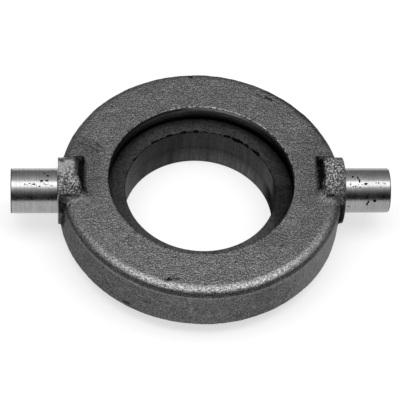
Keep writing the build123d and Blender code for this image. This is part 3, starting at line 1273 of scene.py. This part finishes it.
def ground_graphite(finish, sizes):
    """Ground graphite: streaked upright in its bore, dusty on its ledge, lapped on its face, with
    painted shade at the ends of its bore and on its ledge.
    """
    tree, shader, place = new_material("ground_graphite")
    axes = axes_of(tree, place)
    along_x, height, top = axes["X"], axes["Z"], sizes.graphite_height
    away = from_axis(tree, place)
    upright = scaled(tree, place, (1, 1, 0.1))
    streaks = sand_grain(tree, upright, 2.5 * MM)["Tone"]
    scores = sand_grain(tree, upright, 0.6 * MM)["Tone"]
    fine = sand_grain(tree, place, 0.5 * MM)
    round_axis = add_node(tree, "ShaderNodeCombineXYZ", {"X": away}).outputs[0]
    rings = tool_marks(tree, round_axis, 0.8 * MM)["Tone"]
    dark, light = shade(finish.graphite, 1.3), shade(finish.graphite, 4.8)
    on_face = spread(tree, height, 0.02 * MM, 0.06 * MM, 1, 0)
    # Painted shade at the right end of the bore in front of the axis; the graphite is rougher low
    # at the right end, and in front of the axis up to the ledge
    shaded_tip = product(tree, (axes["Y"], 6 * MM, 1.5 * MM), (along_x, 0, 1 * MM))
    rough_height = spread(tree, height, 6 * MM, 8.6 * MM, 1, spread(tree, shaded_tip, 0, 1, 0, 0.8))
    rough_end = product(tree, (along_x, 22.5 * MM, 24.4 * MM), rough_height)
    turned = layered(
        tree,
        mix_colours(tree, streaks, dark, light),
        (scores, 0, 1, 0.5, 0, dark),
        (on_face, 0, 1, 0, 1, mix_colours(tree, rings, dark, light)),
    )
    light_left = spread(tree, on_face, 0, 1, bore_light(tree, axes, shaded_tip), 1)
    ledge = dusty_shaded_ledge(tree, place, along_x, away, finish, sizes)
    colour = layered(
        tree,
        dimmed(tree, light_left, turned),
        (height, top - 0.06 * MM, top - 0.02 * MM, 0, 1, ledge),
        (fine["Tone"], 0, 1, 0.65, 0, shade(finish.graphite, 0.2)),
    )
    smooth = spread(tree, fine["Tone"], 0, 1, 0.5, 0.36)
    shown = {
        "Base Color": colour,
        "Specular Tint": (0.7, 0.7, 0.7, 1),
        "Roughness": spread(tree, rough_end, 0, 1, smooth, 1),
        "Normal": bump(tree, fine["Height"], 0.07 * MM),
    }
    connect(tree, shader, {**DIRTY_METAL, **shown})


class BEARING_OT_finishes(bpy.types.Operator):
    """Makes the materials of the bearing"""

    bl_idname = "bearing.finishes"
    bl_label = "Finishes"

    def execute(self, context):
        finish, sizes = context.scene.bearing_finish, context.scene.bearing_sizes
        texture_group("Sand grain", "Grain", 1.0 * MM, detail=3.0, cell_share=0.4)
        texture_group("Tool marks", "Pitch", 0.3 * MM, detail=4.0, cell_share=0.0)
        cast_skin(finish)
        worn_edge(finish)
        turned_iron(finish)
        bored_iron(finish, sizes)
        ground_graphite(finish, sizes)
        shaded_inside("pore", finish, roughness=0.8, grains=(0.2 * MM, 0, 1))
        shaded_inside("broken_graphite", finish, roughness=0.85, grains=(0.3 * MM, 0.4, 1, 0, 0.2))
        return {"FINISHED"}


# Stage

# Brightness of the room over the bearing, by the angle in degrees from the horizon in front,
# over the top, to the horizon at the back
SKY = (
    (0, 0.015),
    (22, 0.02),
    (33, 0.07),
    (43, 0.21),
    (53, 0.47),
    (63, 0.86),
    (72, 1.1),
    (98, 1.1),
    (108, 1.0),
    (117, 0.8),
    (130, 0.53),
    (144, 0.4),
    (168, 0.3),
    (180, 0.3),
)


def sky(level):
    """The room: dark in front, brightest overhead, grey at the back, and darker to both sides."""
    world = bpy.data.worlds.new("room")
    world.use_nodes = True
    bpy.context.scene.world = world
    tree = world.node_tree
    way = axes_of(tree, add_node(tree, "ShaderNodeTexCoord").outputs["Generated"])
    forward = calculate(tree, "MULTIPLY", way["Y"], -1.0)
    angle = calculate(tree, "ARCTAN2", way["Z"], forward)
    colours = add_node(tree, "ShaderNodeValToRGB", {0: calculate(tree, "DIVIDE", angle, math.pi)})
    brightest = max(bright for _, bright in SKY)
    stops = colours.color_ramp.elements
    for degrees, _ in SKY[1:-1]:
        stops.new(degrees / 180)
    for stop, (degrees, bright) in zip(stops, SKY):
        stop.position = degrees / 180
        stop.color = (*[bright / brightest] * 3, 1)
    sideways = calculate(tree, "ABSOLUTE", way["X"])
    shown = layered(tree, colours.outputs[0], (sideways, 0.25, 0.95, 0, 0.6, (0, 0, 0)))
    connect(tree, tree.nodes["Background"], {"Color": shown, "Strength": brightest * level})


def softbox(stage):
    """A soft lamp overhead, a little in front of the bearing."""
    in_front = 0.05
    lamp = bpy.data.lights.new("softbox", "AREA")
    lamp.shape = "RECTANGLE"
    lamp.size = stage.softbox_width
    lamp.size_y = stage.softbox_depth
    lamp.energy = stage.softbox_power
    piece = bpy.data.objects.new("softbox", lamp)
    piece.location = (0, -in_front, stage.softbox_height)
    bpy.context.scene.collection.objects.link(piece)


def floor_paper(stage):
    """Pale paper, which the lamps and its own glow show, and which is clear from below."""
    tree, shader, _ = new_material("floor_paper")
    rays = add_node(tree, "ShaderNodeLightPath").outputs
    seen = calculate(tree, "MAXIMUM", rays["Is Camera Ray"], rays["Is Glossy Ray"])
    seen = calculate(tree, "MAXIMUM", seen, rays["Is Transmission Ray"])
    shown = {
        "Base Color": (*stage.floor_colour, 1),
        "Roughness": 0.9,
        "Specular IOR Level": 0.1,
        "Emission Color": (1, 1, 1, 1),
        "Emission Strength": spread(tree, seen, 0, 1, 0, stage.floor_glow),
    }
    connect(tree, shader, shown)
    below = add_node(tree, "ShaderNodeNewGeometry").outputs["Backfacing"]
    clear = add_node(tree, "ShaderNodeBsdfTransparent").outputs[0]
    mixed = add_node(tree, "ShaderNodeMixShader", {0: below, 1: shader.outputs[0], 2: clear})
    connect(tree, tree.nodes["Material Output"], {"Surface": mixed.outputs[0]})


def floor(stage):
    """The floor, a hair under the thrust face, which would share its plane otherwise."""
    hair = 0.05 * MM
    bm = bmesh.new()
    bmesh.ops.create_circle(
        bm,
        cap_ends=True,
        segments=96,
        radius=stage.floor_radius,
        matrix=Matrix.Translation((0, 0, -hair)),
    )
    bm.normal_update()
    bmesh.ops.reverse_faces(bm, faces=[face for face in bm.faces if face.normal.z < 0])
    piece = new_piece("floor", bm)
    floor_paper(stage)
    piece.data.materials.append(bpy.data.materials["floor_paper"])


def camera(stage):
    """The camera, at the place and angle from which the photograph was taken."""
    azimuth, elevation = stage.camera_azimuth, stage.camera_elevation
    back = Vector(
        (
            math.sin(azimuth) * math.cos(elevation),
            -math.cos(azimuth) * math.cos(elevation),
            math.sin(elevation),
        )
    )
    level = Vector((math.cos(azimuth), math.sin(azimuth), 0))
    turn = Matrix((level, back.cross(level), back)).transposed().to_4x4()
    data = bpy.data.cameras.new("camera")
    data.sensor_width = 36
    data.lens = stage.camera_lens
    piece = bpy.data.objects.new("camera", data)
    place = Matrix.Translation(stage.camera_place)
    piece.matrix_world = place @ turn @ Matrix.Rotation(stage.camera_roll, 4, "Z")
    bpy.context.scene.collection.objects.link(piece)
    bpy.context.scene.camera = piece


class BEARING_OT_stage(bpy.types.Operator):
    """Sets up the floor, the room, the softbox and the camera"""

    bl_idname = "bearing.stage"
    bl_label = "Stage"

    def execute(self, context):
        stage = context.scene.bearing_stage
        context.scene.view_settings.view_transform = "Standard"
        sky(stage.sky_level)
        softbox(stage)
        floor(stage)
        camera(stage)
        return {"FINISHED"}


OPERATORS = (
    BEARING_OT_finishes,
    BEARING_OT_housing,
    BEARING_OT_graphite_ring,
    BEARING_OT_stage,
)
GROUPS = ("bearing_sizes", "bearing_finish", "bearing_stage")


class BEARING_PT_panel(bpy.types.Panel):
    """Lists the bearing's operators and settings"""

    bl_idname = "BEARING_PT_panel"
    bl_label = "Bearing"
    bl_space_type = "VIEW_3D"
    bl_region_type = "UI"
    bl_category = "Bearing"

    def draw(self, context):
        for operator in OPERATORS:
            self.layout.operator(operator.bl_idname)
        for group in GROUPS:
            settings = getattr(context.scene, group)
            for name in settings.__annotations__:
                self.layout.prop(settings, name)


CLASSES = (BearingSizes, BearingFinish, BearingStage, *OPERATORS, BEARING_PT_panel)


def register():
    """Registers the classes and the settings of the scene."""
    for kind in CLASSES:
        bpy.utils.register_class(kind)
    bpy.types.Scene.bearing_sizes = PointerProperty(type=BearingSizes)
    bpy.types.Scene.bearing_finish = PointerProperty(type=BearingFinish)
    bpy.types.Scene.bearing_stage = PointerProperty(type=BearingStage)


def unregister():
    """Takes the settings and the classes away again."""
    for group in GROUPS:
        delattr(bpy.types.Scene, group)
    for kind in reversed(CLASSES):
        bpy.utils.unregister_class(kind)


def main():
    """Builds the bearing and its stage."""
    register()
    bpy.ops.bearing.finishes()
    bpy.ops.bearing.housing()
    bpy.ops.bearing.graphite_ring()
    bpy.ops.bearing.stage()


if __name__ == "__main__":
    main()
